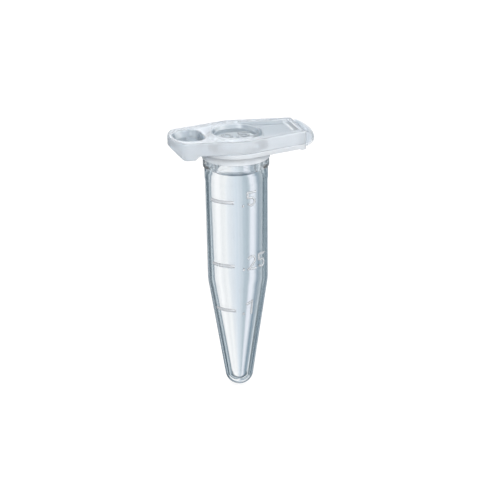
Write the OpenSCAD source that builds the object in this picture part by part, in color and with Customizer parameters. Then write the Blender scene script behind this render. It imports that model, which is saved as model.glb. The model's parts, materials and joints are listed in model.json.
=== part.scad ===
// Half-millilitre microcentrifuge tube with a hinged snap lid, shown closed.
// The origin is on the tube's axis at the underside of its rim flange, where it hangs in a rack.
// Z points up, X points from the axis to the hinge, and the thumb tab is on the other side.

/* [Tube wall] */
// Outside radius of the straight land below the neck, which a rack or rotor hole guides
land_r = 3.92; // [3.6:0.02:4.3]
// Height of the straight land
land_h = 1.6; // [1.2:0.1:2.2]
// How far the barrel steps in below the land
land_step = 0.05; // [0.02:0.01:0.12]
// Thickness of the barrel's and the cone's wall
wall = 0.66; // [0.5:0.02:0.8]
// Length of the barrel between the land and the cone
barrel_h = 13.25; // [11:0.25:17]
// How much the barrel's radius shrinks over its length
barrel_draft = 0.13; // [0.05:0.01:0.3]
// Height of the cone, from the barrel's end to the centre of the round tip
cone_h = 12.5; // [9:0.25:16]
// Outside radius of the round tip
tip_r = 1.75; // [1.4:0.05:2.2]
// Thickness of the floor under the liquid, measured on the axis
floor_t = 0.66; // [0.5:0.02:1.2]

/* [Neck and mouth] */
// Height of the collar just under the flange
collar_h = 0.93; // [0.6:0.05:1.2]
// How far the collar stands out beyond the land
collar_step = 0.28; // [0.26:0.02:0.4]
// Height of the neck between the collar and the land
neck_h = 1.1; // [0.8:0.05:1.5]
// How far the neck stands out beyond the land
neck_step = 0.17; // [0.16:0.01:0.24]
// How much the mouth's radius widens from its seat to the rim
mouth_flare = 0.31; // [0.2:0.01:0.4]
// Depth of the flared mouth below the rim
seat_depth = 3.27; // [2.9:0.05:4]

/* [Rim flange] */
// Thickness of the flange and of the tongue that carries the hinge
flange_t = 0.57; // [0.45:0.02:0.8]
// How far the flange stands out beyond the collar
flange_lip = 0.3; // [0.2:0.02:0.5]
// Width of the tongue where it ends at the hinge
tongue_w = 5.6; // [5:0.1:6]
// How far the bar at the tongue's end hangs below the flange
tongue_bar_drop = 0.15; // [0.05:0.01:0.25]

/* [Hinge] */
// Distance from the tube's axis to the two folds of the living hinge
fold_x = 8.4; // [7.8:0.1:9.5]
// Width of the strap between the folds
strap_w = 4.6; // [3.8:0.1:5.2]
// Thickness of the strap
strap_t = 0.34; // [0.24:0.02:0.36]
// Straight stretch of the strap between each fold and the bend
strap_run = 0.25; // [0.1:0.05:0.4]
// Radius of the round bead along each fold
fold_r = 0.2; // [0.19:0.01:0.24]
// Clearance between a fold's bead and the bar that it turns in
fold_gap = 0.03; // [0.02:0.01:0.06]
// Length of the bar at the hinge end of the tongue and of the lid
bar_len = 0.7; // [0.5:0.05:1]

/* [Lid] */
// Gap between the closed lid and the flange
lid_gap = 0.05; // [0.03:0.01:0.1]
// Thickness of the lid from its underside to the top of its border
lid_t = 1.66; // [1.5:0.02:1.9]
// How far the lid's round middle overhangs the flange
lid_overhang = 0.15; // [0.05:0.01:0.3]
// Width of the lid's hinge end
lid_end_w = 6; // [5.6:0.1:6.6]
// Width of the border beside the hinge panel
border_w = 1.25; // [1:0.05:1.5]
// Width of the border strip between the hinge panel and the hinge bar
panel_end_w = 0.2; // [0.1:0.05:0.5]
// Where the hinge panel starts, measured from the tube's axis
panel_x = 1.5; // [1.3:0.1:2]
// Depth of the hinge panel below the border
panel_depth = 0.3; // [0.15:0.05:0.45]
// Radius of the round recess over the mouth
recess_r = 2.8; // [2.5:0.05:2.9]
// Depth of the round recess below the border
recess_depth = 0.6; // [0.5:0.05:0.7]
// Width of the raised ring between the recess and the hinge panel
recess_ring_w = 0.3; // [0.2:0.02:0.35]

/* [Thumb tab] */
// Distance from the tube's axis to the tab's tip
tab_reach = 8.45; // [8:0.05:9.2]
// Width of the tab across its two corners
tab_w = 6.66; // [6.2:0.02:7.2]
// Radius of the tab's curved end
tab_end_r = 5.4; // [4.8:0.1:7]
// Radius of the tab's corners
tab_corner_r = 1; // [0.6:0.1:1.4]
// Where the tab starts, measured from the tube's axis
tab_root_x = 5.2; // [5:0.05:5.5]
// Length of the thicker grip at the tab's end
tab_grip_len = 1.8; // [1.5:0.1:1.9]
// How far the grip hangs below the lid's underside
tab_drop = 0.5; // [0.4:0.02:0.56]
// Thickness left at the tab's very tip, above the chamfer
tab_tip_t = 1.1; // [1:0.05:1.2]
// Width of the border between the finger well and the tab's end
well_border = 0.75; // [0.6:0.05:1]
// Width of the finger well
well_w = 4.4; // [3.6:0.1:5]
// Where the finger well ends towards the round recess, measured from the tube's axis
well_x = 4.35; // [4:0.05:4.6]
// Depth of the finger well below the border
well_depth = 0.9; // [0.7:0.05:1]
// Corner radius of the finger well
well_corner_r = 1.5; // [1:0.1:1.6]

/* [Sealing plug] */
// Depth of the plug below the lid's underside
plug_depth = 3.25; // [2.4:0.05:3.3]
// Thickness of the plug's skirt at its lower edge
plug_wall = 0.5; // [0.35:0.05:0.7]
// Clearance that the plug keeps from the mouth while the lid swings
plug_gap = 0.06; // [0.05:0.01:0.12]

/* [Graduations] */
// Depth of the 0.5 line below the flange
half_depth = 5.75; // [5.5:0.05:6.3]
// Depth of the 0.25 line below the flange
quarter_depth = 14.05; // [13.4:0.05:14.6]
// Depth of the 0.1 line below the flange
tenth_depth = 20.1; // [19.5:0.1:20.8]
// Height of each raised line
line_h = 0.45; // [0.3:0.05:0.6]
// Angle round the tube that each line covers
line_angle = 51; // [36:3:60]
// How far lines and numerals stand out of the wall
mark_relief = 0.13; // [0.08:0.01:0.2]
// Height of a numeral
digit_h = 1.95; // [1.5:0.05:2.2]
// Width of a numeral
digit_w = 1.25; // [1:0.05:1.4]
// Width of a numeral's stroke
stroke_w = 0.3; // [0.2:0.02:0.36]
// Gap between neighbouring numerals
digit_gap = 0.3; // [0.2:0.05:0.4]
// How far the numerals' feet lie below the line's middle
digit_drop = 0.6; // [0.4:0.05:0.9]
// How far the numerals on the lid stand out of its recess
lid_digit_relief = 0.12; // [0.06:0.02:0.2]

/* [Hidden] */
$fn = 96;

clear_plastic = [0.80, 0.88, 0.92];
lid_plastic = [0.84, 0.87, 0.92];
relief_plastic = [0.93, 0.95, 0.98];

// Radii of the tube
collar_r = land_r + collar_step;
neck_r = land_r + neck_step;
barrel_top_r = land_r - land_step;
barrel_end_r = barrel_top_r - barrel_draft;
seat_r = land_r - wall;
mouth_r = seat_r + mouth_flare;
bore_end_r = barrel_end_r - wall;
bore_tip_r = tip_r - wall;

// Heights of the tube, downward from the rim
rim_z = flange_t;
seat_z = rim_z - seat_depth;
neck_z = -collar_h - neck_h;
land_z = neck_z - land_h;
barrel_z = land_z - barrel_h;
tip_centre_z = barrel_z - cone_h;
floor_z = tip_centre_z - tip_r + floor_t;
bore_tip_z = floor_z + bore_tip_r;

// Half angles of cones that run smoothly into the round tip
cone_angle = tangent_angle(barrel_end_r, cone_h, tip_r);
bore_angle = tangent_angle(bore_end_r, barrel_z - bore_tip_z, bore_tip_r);

// Lid levels and hinge
flange_r = collar_r + flange_lip;
lid_r = flange_r + lid_overhang;
lid_z = rim_z + lid_gap;
lid_top_z = lid_z + lid_t;
plate_top_z = lid_top_z - recess_depth;
fold_low_z = flange_t / 2;
fold_high_z = lid_top_z - flange_t / 2;
fold_mid_z = (fold_low_z + fold_high_z) / 2;
strap_r = (fold_high_z - fold_low_z) / 2;
bar_end_x = fold_x - fold_r - fold_gap;
bar_x = bar_end_x - bar_len;

// Thumb tab
tab_centre_x = tab_end_r - tab_reach;
tab_side = tab_w / 2 - tab_corner_r;
tab_corner_x = tab_centre_x - sqrt(pow(tab_end_r - tab_corner_r, 2) - pow(tab_side, 2));
tab_chamfer = lid_t + tab_drop - tab_tip_t;

// Sealing plug
plug_z = lid_z - plug_depth;
plug_steps = 8;
plug_bore_r = plug_r(plug_z) - plug_wall;

// Graduations: polar angles of the lines' start and of the numerals' start, seen from the front
line_start = 199;
digit_start = 263;
arc_step = 10;
// Reach of the cuts beyond what they cut
over = 1;

// Half angle of a cone that starts at radius r and touches a sphere of radius t, h below
function tangent_angle(r, h, t) = atan(r / h) - asin(t / norm([r, h]));

// Points of a quarter round at the foot of a cone, from the cone down to the axis
function tip_points(r, centre_z, from) =
    [for (i = [0:8]) let (a = from + i * (90 - from) / 8) [r * cos(a), centre_z - r * sin(a)]];

function reversed(list) = [for (i = [len(list) - 1:-1:0]) list[i]];

// Outside of the barrel, the cone and the tip, downward
function barrel_points(grow = 0) = [
    [barrel_top_r + grow, land_z],
    [barrel_end_r + grow, barrel_z],
    each tip_points(tip_r + grow, tip_centre_z, cone_angle)
];

// Inside of the tube, downward
function bore_points() = [
    [mouth_r, rim_z],
    [seat_r, seat_z],
    [bore_end_r, barrel_z],
    each tip_points(bore_tip_r, bore_tip_z, bore_angle)
];

// Mouth radius at height z
function mouth_at(z) = mouth_r - mouth_flare * (rim_z - z) / seat_depth;

// How far a point of the plug at height z swings outward before it clears the rim
function swing_at(z) =
    (pow(fold_mid_z - z, 2) - pow(fold_mid_z - rim_z, 2)) / (2 * (fold_x + bore_end_r));

// Plug radius at height z
function plug_r(z) = min(mouth_at(min(z, rim_z)), mouth_r - swing_at(min(z, rim_z))) - plug_gap;

// Points along an arc
function arc(centre, r, from, to) =
    let (n = ceil(abs(to - from) / arc_step))
    [for (i = [0:n]) let (a = from + i * (to - from) / n) centre + r * [cos(a), sin(a)]];

// Unit normal of the stretch of a path that starts at point i
function normal(path, i) = let (d = path[i + 1] - path[i]) [-d.y, d.x] / norm(d);

// Where a line at distance d beside a path turns, at point i
function mitre(path, i, d) =
    let (a = normal(path, max(i - 1, 0)), b = normal(path, min(i, len(path) - 2)))
    path[i] + d * (a + b) / (1 + a * b);

function beside(path, d) = [for (i = [0:len(path) - 1]) mitre(path, i, d)];

// Plan shapes
module lid_outline() {
    hull() {
        circle(r = lid_r);
        for (s = [-1, 1])
            translate([tab_corner_x, s * tab_side]) circle(r = tab_corner_r);
        intersection() {
            translate([tab_centre_x, 0]) circle(r = tab_end_r);
            translate([-tab_reach, -tab_side]) square([tab_reach, 2 * tab_side]);
        }
        translate([0, -lid_end_w / 2]) square([bar_end_x, lid_end_w]);
    }
}

module flange_outline() {
    hull() {
        circle(r = flange_r);
        translate([0, -tongue_w / 2]) square([bar_end_x, tongue_w]);
    }
}

// The part of a plan shape between two distances from the tube's axis
module slice(from, to) {
    intersection() {
        children();
        translate([from, -lid_r - over]) square([to - from, 2 * (lid_r + over)]);
    }
}

module panel_outline() {
    difference() {
        slice(panel_x, bar_x - panel_end_w) offset(delta = -border_w) lid_outline();
        circle(r = recess_r + recess_ring_w);
    }
}

module well_outline() {
    offset(r = well_corner_r) offset(delta = -well_corner_r)
        intersection() {
            offset(delta = -well_border) lid_outline();
            translate([-tab_reach, -well_w / 2]) square([tab_reach - well_x, well_w]);
        }
}

module finger_well() {
    translate([0, 0, lid_top_z - well_depth]) linear_extrude(well_depth + over) well_outline();
}

// Numerals, drawn with their left foot at the origin
module stroke(path) {
    polygon(concat(beside(path, stroke_w / 2), reversed(beside(path, -stroke_w / 2))));
}

module point_mark() {
    square(stroke_w);
}

module digit_0() {
    r = digit_w / 2;
    difference() {
        hull() for (y = [r, digit_h - r]) translate([r, y]) circle(r = r);
        hull() for (y = [r, digit_h - r]) translate([r, y]) circle(r = r - stroke_w);
    }
}

module digit_1() {
    x = digit_w / 2;
    translate([x, 0]) square([stroke_w, digit_h]);
    stroke([[0, digit_h * 0.72], [x + stroke_w / 2, digit_h - stroke_w / 2]]);
}

module digit_2() {
    r = (digit_w - stroke_w) / 2;
    centre = [digit_w / 2, digit_h - digit_w / 2];
    stroke([each arc(centre, r, 165, -35), [stroke_w * 0.8, stroke_w / 2]]);
    square([digit_w, stroke_w]);
}

module digit_5() {
    r = (digit_w - stroke_w) / 2;
    top = digit_h - stroke_w / 2;
    left = stroke_w / 2;
    centre = [digit_w / 2, digit_w / 2];
    stroke([[digit_w, top], [left, top], [left, centre.y + r], each arc(centre, r, 90, -150)]);
}

module numeral(name) {
    if (name == ".") point_mark();
    if (name == "0") digit_0();
    if (name == "1") digit_1();
    if (name == "2") digit_2();
    if (name == "5") digit_5();
}

// Width of a numeral with the gap after it, and of the numerals before number i
function advance(name) = (name == "." ? stroke_w : digit_w) + digit_gap;
function offset_of(names, i) = i == 0 ? 0 : offset_of(names, i - 1) + advance(names[i - 1]);

// Skin of the barrel and the cone, as thick as the raised marks
module mark_skin() {
    rotate_extrude() polygon(concat(barrel_points(mark_relief), reversed(barrel_points())));
}

// A raised line with its numerals, on the outside of the tube
module mark(depth, names) {
    r = barrel_top_r;
    color(relief_plastic) {
        intersection() {
            mark_skin();
            rotate([0, 0, line_start])
                rotate_extrude(angle = line_angle)
                    translate([tip_r / 2, -depth - line_h / 2]) square([land_r, line_h]);
        }
        for (i = [0:len(names) - 1]) {
            middle = offset_of(names, i) + (advance(names[i]) - digit_gap) / 2;
            intersection() {
                mark_skin();
                rotate([0, 0, digit_start + middle / r * 180 / PI])
                    translate([0, 0, -depth - digit_drop])
                        rotate([90, 0, 90])
                            linear_extrude(land_r + over)
                                translate([-(advance(names[i]) - digit_gap) / 2, 0])
                                    numeral(names[i]);
            }
        }
    }
}

// Barrel, cone and round tip in one wall, with the collar, the neck and the mouth
module tube_wall() {
    color(clear_plastic)
        rotate_extrude()
            polygon(concat(
                [
                    [collar_r, rim_z], [collar_r, -collar_h], [neck_r, -collar_h],
                    [neck_r, neck_z], [land_r, neck_z], [land_r, land_z]
                ],
                barrel_points(),
                reversed(bore_points())
            ));
}

// Flat plate round the mouth, with the tongue that carries the hinge
module rim_flange() {
    color(clear_plastic)
        difference() {
            linear_extrude(flange_t) slice(-flange_r - over, bar_x) flange_outline();
            translate([0, 0, -over]) cylinder(r = collar_r, h = flange_t + 2 * over);
        }
}

// Thicker bar at the end of the tongue
module tongue_bar() {
    color(clear_plastic)
        translate([0, 0, -tongue_bar_drop])
            linear_extrude(flange_t + tongue_bar_drop)
                slice(bar_x, bar_end_x) flange_outline();
}

module mark_half() mark(half_depth, [".", "5"]);
module mark_quarter() mark(quarter_depth, [".", "2", "5"]);
module mark_tenth() mark(tenth_depth, [".", "1"]);

// Half a round plate on a straight stretch, as the strap bends
module bend_outline(r) {
    translate([strap_run, 0]) circle(r = r);
    translate([-over, -r]) square([strap_run + over, 2 * r]);
}

// Strap of the living hinge: half a ring with a round bead along each fold
module hinge_strap() {
    color(lid_plastic)
        translate([fold_x, strap_w / 2, fold_mid_z])
            rotate([90, 0, 0])
                linear_extrude(strap_w) {
                    difference() {
                        bend_outline(strap_r + strap_t / 2);
                        bend_outline(strap_r - strap_t / 2);
                        translate([-2 * strap_r, -2 * strap_r]) square([2 * strap_r, 4 * strap_r]);
                    }
                    for (s = [-1, 1]) translate([0, s * strap_r]) circle(r = fold_r);
                }
}

// Web of the lid that closes the mouth
module lid_plate() {
    color(lid_plastic)
        difference() {
            translate([0, 0, lid_z])
                linear_extrude(plate_top_z - lid_z)
                    slice(-tab_root_x, bar_x) lid_outline();
            finger_well();
        }
}

// Raised border on the web, open over the round recess, with a shallow panel towards the hinge
module lid_border() {
    color(lid_plastic)
        difference() {
            translate([0, 0, plate_top_z])
                linear_extrude(recess_depth)
                    slice(-tab_root_x, bar_x) lid_outline();
            translate([0, 0, plate_top_z - over])
                cylinder(r = recess_r, h = recess_depth + 2 * over);
            translate([0, 0, lid_top_z - panel_depth])
                linear_extrude(panel_depth + over) panel_outline();
            finger_well();
        }
}

// Full-height bar at the hinge end of the lid
module lid_bar() {
    color(lid_plastic)
        translate([0, 0, lid_z])
            linear_extrude(lid_t)
                slice(bar_x, bar_end_x) lid_outline();
}

// Tab to open the lid with, chamfered under its tip and hollowed by the finger well
module thumb_tab() {
    grip_x = tab_reach - tab_chamfer - tab_grip_len + tab_drop;
    color(lid_plastic)
        difference() {
            intersection() {
                translate([0, 0, lid_z - tab_drop])
                    linear_extrude(lid_t + tab_drop)
                        slice(-tab_reach - over, -tab_root_x) lid_outline();
                translate([0, tab_w, 0])
                    rotate([90, 0, 0])
                        linear_extrude(2 * tab_w)
                            polygon([
                                [-tab_root_x, lid_z], [-tab_root_x, lid_top_z],
                                [-tab_reach, lid_top_z], [-tab_reach, lid_top_z - tab_tip_t],
                                [-tab_reach + tab_chamfer, lid_z - tab_drop],
                                [-grip_x, lid_z - tab_drop], [-grip_x + tab_drop, lid_z]
                            ]);
            }
            finger_well();
        }
}

// Hollow skirt that seals the mouth, narrowed downward so that it swings clear of the rim
module sealing_plug() {
    color(lid_plastic)
        rotate_extrude()
            polygon([
                for (i = [0:plug_steps]) let (z = lid_z - i * plug_depth / plug_steps) [plug_r(z), z],
                [plug_bore_r, plug_z],
                [plug_bore_r, lid_z]
            ]);
}

// Plain numerals that stand in the round recess
module lid_numerals() {
    names = ["0", ".", "5"];
    width = offset_of(names, len(names)) - digit_gap;
    color(relief_plastic)
        translate([-width / 2, -digit_h / 2, plate_top_z])
            linear_extrude(lid_digit_relief)
                for (i = [0:len(names) - 1])
                    translate([offset_of(names, i), 0]) numeral(names[i]);
}

tube_wall();
rim_flange();
tongue_bar();
mark_half();
mark_quarter();
mark_tenth();
hinge_strap();
lid_plate();
lid_border();
lid_bar();
thumb_tab();
sealing_plug();
lid_numerals();
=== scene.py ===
# %% [markdown]
# # A half-millilitre lab tube with a hinged lid
# The real tube is moulded in clear plastic: a thin barrel that narrows to a round tip, a rim with a tongue,
# and a lid on a living hinge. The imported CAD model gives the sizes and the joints. Here each piece is made
# again in the same frame with soft edges and a clear finish, so the frame is loaded before anything else.

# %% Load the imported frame
import json
import math

import bmesh
import bpy
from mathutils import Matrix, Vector


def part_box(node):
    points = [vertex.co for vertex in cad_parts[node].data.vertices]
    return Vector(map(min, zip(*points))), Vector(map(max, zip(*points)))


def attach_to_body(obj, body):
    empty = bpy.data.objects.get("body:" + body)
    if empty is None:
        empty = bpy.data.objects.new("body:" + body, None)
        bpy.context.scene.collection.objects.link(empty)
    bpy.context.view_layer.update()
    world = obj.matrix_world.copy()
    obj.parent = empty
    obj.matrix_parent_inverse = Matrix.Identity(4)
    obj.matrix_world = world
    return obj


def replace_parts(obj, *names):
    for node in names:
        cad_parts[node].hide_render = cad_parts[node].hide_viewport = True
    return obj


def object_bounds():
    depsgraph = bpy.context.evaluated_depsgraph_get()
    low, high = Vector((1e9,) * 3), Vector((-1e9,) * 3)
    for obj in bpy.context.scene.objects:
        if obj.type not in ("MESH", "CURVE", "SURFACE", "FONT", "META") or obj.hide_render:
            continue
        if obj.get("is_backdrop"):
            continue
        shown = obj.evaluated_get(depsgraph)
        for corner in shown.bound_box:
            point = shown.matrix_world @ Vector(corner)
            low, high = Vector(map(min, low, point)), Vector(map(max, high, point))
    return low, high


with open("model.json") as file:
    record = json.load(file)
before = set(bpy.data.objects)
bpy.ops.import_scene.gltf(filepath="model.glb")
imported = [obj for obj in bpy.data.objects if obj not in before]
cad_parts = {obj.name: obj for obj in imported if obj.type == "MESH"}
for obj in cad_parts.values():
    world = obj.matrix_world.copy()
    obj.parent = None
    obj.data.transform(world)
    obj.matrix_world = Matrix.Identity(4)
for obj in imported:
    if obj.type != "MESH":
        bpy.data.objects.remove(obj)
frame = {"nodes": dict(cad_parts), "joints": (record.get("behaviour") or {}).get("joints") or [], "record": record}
cad_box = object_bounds()
MM = 0.001
print("CAD nodes:", ", ".join(sorted(frame["nodes"])))

# %% [markdown]
# ## Sizes
# Shapes are drawn in millimetres, because the tube is only 33 mm tall, and turned into metres when a mesh is
# made. The main sizes are read from the boxes of the CAD nodes. Small ones, such as the steps of the neck,
# can't be read from a box, so they are written down once with the part's own names.

# %% Sizes read from the frame, in millimetres
def box_mm(node):
    """Lowest and highest corner of a CAD node."""
    low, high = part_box(node)
    return low / MM, high / MM


wall_low, wall_high = box_mm("tube_wall")
flange_low, flange_high = box_mm("rim_flange")
bar_low, bar_high = box_mm("tongue_bar")
border_low, border_high = box_mm("lid_border")
lid_bar_low, lid_bar_high = box_mm("lid_bar")
tab_low = box_mm("thumb_tab")[0]
plug_low = box_mm("sealing_plug")[0]
strap_high = box_mm("hinge_strap")[1]

tip_z = wall_low.z
rim_z = flange_high.z
collar_r = wall_high.x
flange_r = flange_high.y
bar_x = bar_low.x
bar_end_x = bar_high.x
bar_drop = flange_low.z - bar_low.z
lid_z = lid_bar_low.z
lid_top_z = lid_bar_high.z
plate_top_z = border_low.z
lid_r = border_high.y
tab_reach = -tab_low.x
plug_z = plug_low.z
fold_x, fold_low_z = (frame["joints"][0]["pos_m"][i] / MM for i in (0, 2))
fold_high_z = frame["joints"][1]["pos_m"][2] / MM
land_mount = next(m for m in frame["record"]["mounts"] if m["name"] == "rack_land")
land_r = land_mount["dims"]["r_mm"]
land_h = land_mount["dims"]["length_mm"]
print(f"tip at {tip_z:.2f}, rim at {rim_z:.2f}, lid top at {lid_top_z:.2f}, land radius {land_r:.2f} mm")

# %% Small sizes of the tube, in millimetres
wall = 0.66
floor_t = 0.66
tip_r = 1.75
collar_h = 0.93
neck_h = 1.1
neck_step = 0.17
land_step = 0.05
barrel_h = 13.25
barrel_draft = 0.13
seat_depth = 3.27
mouth_flare = 0.31
tongue_w = 5.6

neck_r = land_r + neck_step
neck_z = -collar_h - neck_h
land_z = neck_z - land_h
barrel_top_r = land_r - land_step
barrel_end_r = barrel_top_r - barrel_draft
barrel_z = land_z - barrel_h
seat_r = land_r - wall
seat_z = rim_z - seat_depth
mouth_r = seat_r + mouth_flare
bore_end_r = barrel_end_r - wall
bore_tip_r = tip_r - wall
tip_centre_z = tip_z + tip_r
bore_tip_z = tip_z + floor_t + bore_tip_r
print(f"barrel {2 * barrel_top_r:.2f} to {2 * barrel_end_r:.2f} mm across, wall {wall} mm")

# %% [markdown]
# ## Camera
# The photograph looks slightly down on the lid, from the tab's side of the front. A long lens keeps the
# tube's sides parallel. The camera is described the way a photographer would: the angle round the tube, the
# height above it, the distance, and how many millimetres the square picture takes in at the tube.

# %% Place the camera
VIEW_AZIMUTH = math.radians(-16.8)
VIEW_HEIGHT = math.radians(20.0)
VIEW_ROLL = math.radians(-0.92)
VIEW_DISTANCE = 300.0
VIEW_WIDTH = 59.56
VIEW_CENTRE_Z = -11.94
VIEW_SHIFT_RIGHT = 0.35

view_right = Vector((math.cos(VIEW_AZIMUTH), math.sin(VIEW_AZIMUTH), 0.0))
to_camera = Vector((
    math.sin(VIEW_AZIMUTH) * math.cos(VIEW_HEIGHT),
    -math.cos(VIEW_AZIMUTH) * math.cos(VIEW_HEIGHT),
    math.sin(VIEW_HEIGHT),
))
target = view_right * VIEW_SHIFT_RIGHT + Vector((0.0, 0.0, VIEW_CENTRE_Z))


def add_object(name, data):
    """New object in the scene."""
    made = bpy.data.objects.new(name, data)
    bpy.context.scene.collection.objects.link(made)
    return made


camera_data = bpy.data.cameras.new("tube_camera")
camera_data.sensor_width = 36.0
camera_data.lens = camera_data.sensor_width * VIEW_DISTANCE / VIEW_WIDTH
camera_data.clip_start = 0.005
camera = add_object("tube_camera", camera_data)
camera.location = (target + to_camera * VIEW_DISTANCE) * MM
camera.rotation_euler = to_camera.to_track_quat("Z", "Y").to_euler()
camera.rotation_euler.rotate_axis("Z", VIEW_ROLL)
bpy.context.scene.camera = camera
bpy.context.scene.view_settings.view_transform = "Standard"
print(f"lens {camera_data.lens:.0f} mm, {VIEW_DISTANCE:.0f} mm from the tube")

# %% [markdown]
# ## Building nodes from the script
# Every tree below, for shapes and for finishes, is made of the same two moves: add a node, and set or link
# its inputs. A short helper does both. Others add the nodes that come up most, so that a formula reads in
# order: Math, Map Range, and Mix between two colours.

# %% Helpers for node trees
NODE_COLUMNS = 12
NODE_W = 170.0
NODE_H = 190.0


def add_node(tree, kind, inputs=None, **settings):
    """New node, with each input set to a value or linked to a socket."""
    node = tree.nodes.new(kind)
    row, column = divmod(len(tree.nodes), NODE_COLUMNS)
    node.location = (column * NODE_W, -row * NODE_H)
    for name, value in settings.items():
        setattr(node, name, value)
    for key, value in (inputs or {}).items():
        socket = node.inputs[key]
        if isinstance(value, bpy.types.NodeSocket):
            tree.links.new(value, socket)
        else:
            socket.default_value = value
    return node


def calc(tree, operation, *values):
    """Result of a Math node."""
    return add_node(tree, "ShaderNodeMath", dict(enumerate(values)), operation=operation).outputs[0]


def map_range(tree, value, start, stop, first=0.0, last=1.0, kind="LINEAR"):
    """Value that goes from first to last while another goes from start to stop."""
    return add_node(tree, "ShaderNodeMapRange", {
        "Value": value, "From Min": start, "From Max": stop, "To Min": first, "To Max": last,
    }, interpolation_type=kind).outputs["Result"]


def opaque(colour):
    """Colour with the alpha that a socket asks for."""
    return (*colour, 1.0)


def mix_colours(tree, share, first, second):
    """Colour between two others, which are sockets or opaque colours."""
    return add_node(tree, "ShaderNodeMix", {0: share, 6: first, 7: second}, data_type="RGBA").outputs[2]


def empty_tree(owner):
    """Node tree of a material or a world, with nothing in it."""
    owner.use_nodes = True
    owner.node_tree.nodes.clear()
    return owner.node_tree


def new_group(name, kind, inputs, outputs):
    """Empty node group with named inputs and outputs, and the sockets to link them by."""
    tree = bpy.data.node_groups.new(name, kind)
    for label, socket_type, default in inputs:
        socket = tree.interface.new_socket(label, in_out="INPUT", socket_type=socket_type)
        if default is not None:
            socket.default_value = default
    for label, socket_type in outputs:
        tree.interface.new_socket(label, in_out="OUTPUT", socket_type=socket_type)
    return tree, tree.nodes.new("NodeGroupInput").outputs, tree.nodes.new("NodeGroupOutput").inputs


print("node helpers ready")

# %% [markdown]
# ## Set: floor, background and lamps
# Clear plastic shows what stands round it more than its own colour. Photographers light it from a white
# background with grey cards beside it, so that the middle stays bright and the edges are drawn dark. The
# world plays both parts: white where the camera looks at it, and for light that has passed through the
# plastic a ring of white and blue-grey panels that repeats round the tube, so that every side has edges.
# Steeply upward the ring gives way to a white ceiling, which the lid's flat top mirrors and lets through.

# %% White background, white ceiling and grey panels for the plastic
LOOK_AZIMUTH = math.pi / 2 + VIEW_AZIMUTH
PANEL_TURN = math.radians(90.0)
WHITE = (1.0, 1.0, 1.0)
AMBIENT = (0.6, 0.6, 0.6)
OVERHEAD = (0.94, 0.97, 1.0)
OVERHEAD_FROM = 0.3
OVERHEAD_FULL = 0.6
# Place across the panels from 0 to 1, and the colour there
PANELS = (
    (0.00, (0.62, 0.70, 0.75)),
    (0.185, (0.60, 0.68, 0.73)),
    (0.225, (0.30, 0.38, 0.44)),
    (0.36, (0.20, 0.28, 0.35)),
    (0.385, (0.44, 0.51, 0.59)),
    (0.405, (0.70, 0.75, 0.81)),
    (0.425, (0.88, 0.90, 0.97)),
    (0.445, (0.86, 0.89, 0.96)),
    (0.457, (0.55, 0.62, 0.68)),
    (0.465, (0.50, 0.58, 0.64)),
    (0.50, (0.68, 0.75, 0.82)),
    (0.525, (0.88, 0.91, 0.95)),
    (0.545, WHITE),
    (0.745, WHITE),
    (0.775, (0.18, 0.24, 0.28)),
    (1.00, (0.18, 0.24, 0.28)),
)

world = bpy.data.worlds.new("studio")
bpy.context.scene.world = world
sky = empty_tree(world)
direction = add_node(sky, "ShaderNodeSeparateXYZ", {
    0: add_node(sky, "ShaderNodeTexCoord").outputs["Generated"],
})
azimuth = calc(sky, "ARCTAN2", direction.outputs["Y"], direction.outputs["X"])
half_turn = PANEL_TURN / 2
offset = calc(sky, "WRAP", calc(sky, "SUBTRACT", azimuth, LOOK_AZIMUTH), half_turn, -half_turn)
place = calc(sky, "MULTIPLY_ADD", offset, 1.0 / PANEL_TURN, 0.5)
panels = add_node(sky, "ShaderNodeValToRGB", {"Fac": place})
panels.color_ramp.interpolation = "EASE"
while len(panels.color_ramp.elements) < len(PANELS):
    panels.color_ramp.elements.new(1.0)
for element, (position, colour) in zip(panels.color_ramp.elements, PANELS):
    element.position = position
    element.color = opaque(colour)
steep = map_range(sky, direction.outputs["Z"], OVERHEAD_FROM, OVERHEAD_FULL)
around = mix_colours(sky, steep, panels.outputs["Color"], opaque(OVERHEAD))
rays = add_node(sky, "ShaderNodeLightPath").outputs
through = calc(sky, "MAXIMUM", rays["Is Glossy Ray"], rays["Is Transmission Ray"])
seen = mix_colours(sky, through, opaque(AMBIENT), around)
backdrop = mix_colours(sky, rays["Is Camera Ray"], seen, opaque(WHITE))
background = add_node(sky, "ShaderNodeBackground", {"Color": backdrop})
add_node(sky, "ShaderNodeOutputWorld", {"Surface": background.outputs[0]})
print(f"world: {len(PANELS)} panel stops, repeated every {math.degrees(PANEL_TURN):.0f} degrees")

# %% Pale floor under the tip
FLOOR_SIZE = 4000.0
FLOOR_GLOW = 0.82
FLOOR_GREY = (0.30, 0.30, 0.30)

floor_mesh = bpy.data.meshes.new("floor")
half = FLOOR_SIZE / 2 * MM
floor_level = tip_z * MM
floor_mesh.from_pydata(
    [(x, y, floor_level) for x, y in ((-half, -half), (half, -half), (half, half), (-half, half))],
    [],
    [(0, 1, 2, 3)],
)
floor = add_object("floor", floor_mesh)
floor.visible_transmission = False
floor.visible_glossy = False

floor_paint = bpy.data.materials.new("floor_paint")
paint = empty_tree(floor_paint)
matt = add_node(paint, "ShaderNodeBsdfDiffuse", {"Color": opaque(FLOOR_GREY)})
camera_ray = add_node(paint, "ShaderNodeLightPath").outputs["Is Camera Ray"]
glow = add_node(paint, "ShaderNodeEmission", {"Strength": calc(paint, "MULTIPLY", camera_ray, FLOOR_GLOW)})
both = add_node(paint, "ShaderNodeAddShader", {0: matt.outputs[0], 1: glow.outputs[0]})
add_node(paint, "ShaderNodeOutputMaterial", {"Surface": both.outputs[0]})
floor_mesh.materials.append(floor_paint)
floor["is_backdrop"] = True
print(f"floor at {tip_z:.2f} mm, under the tip")

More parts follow.
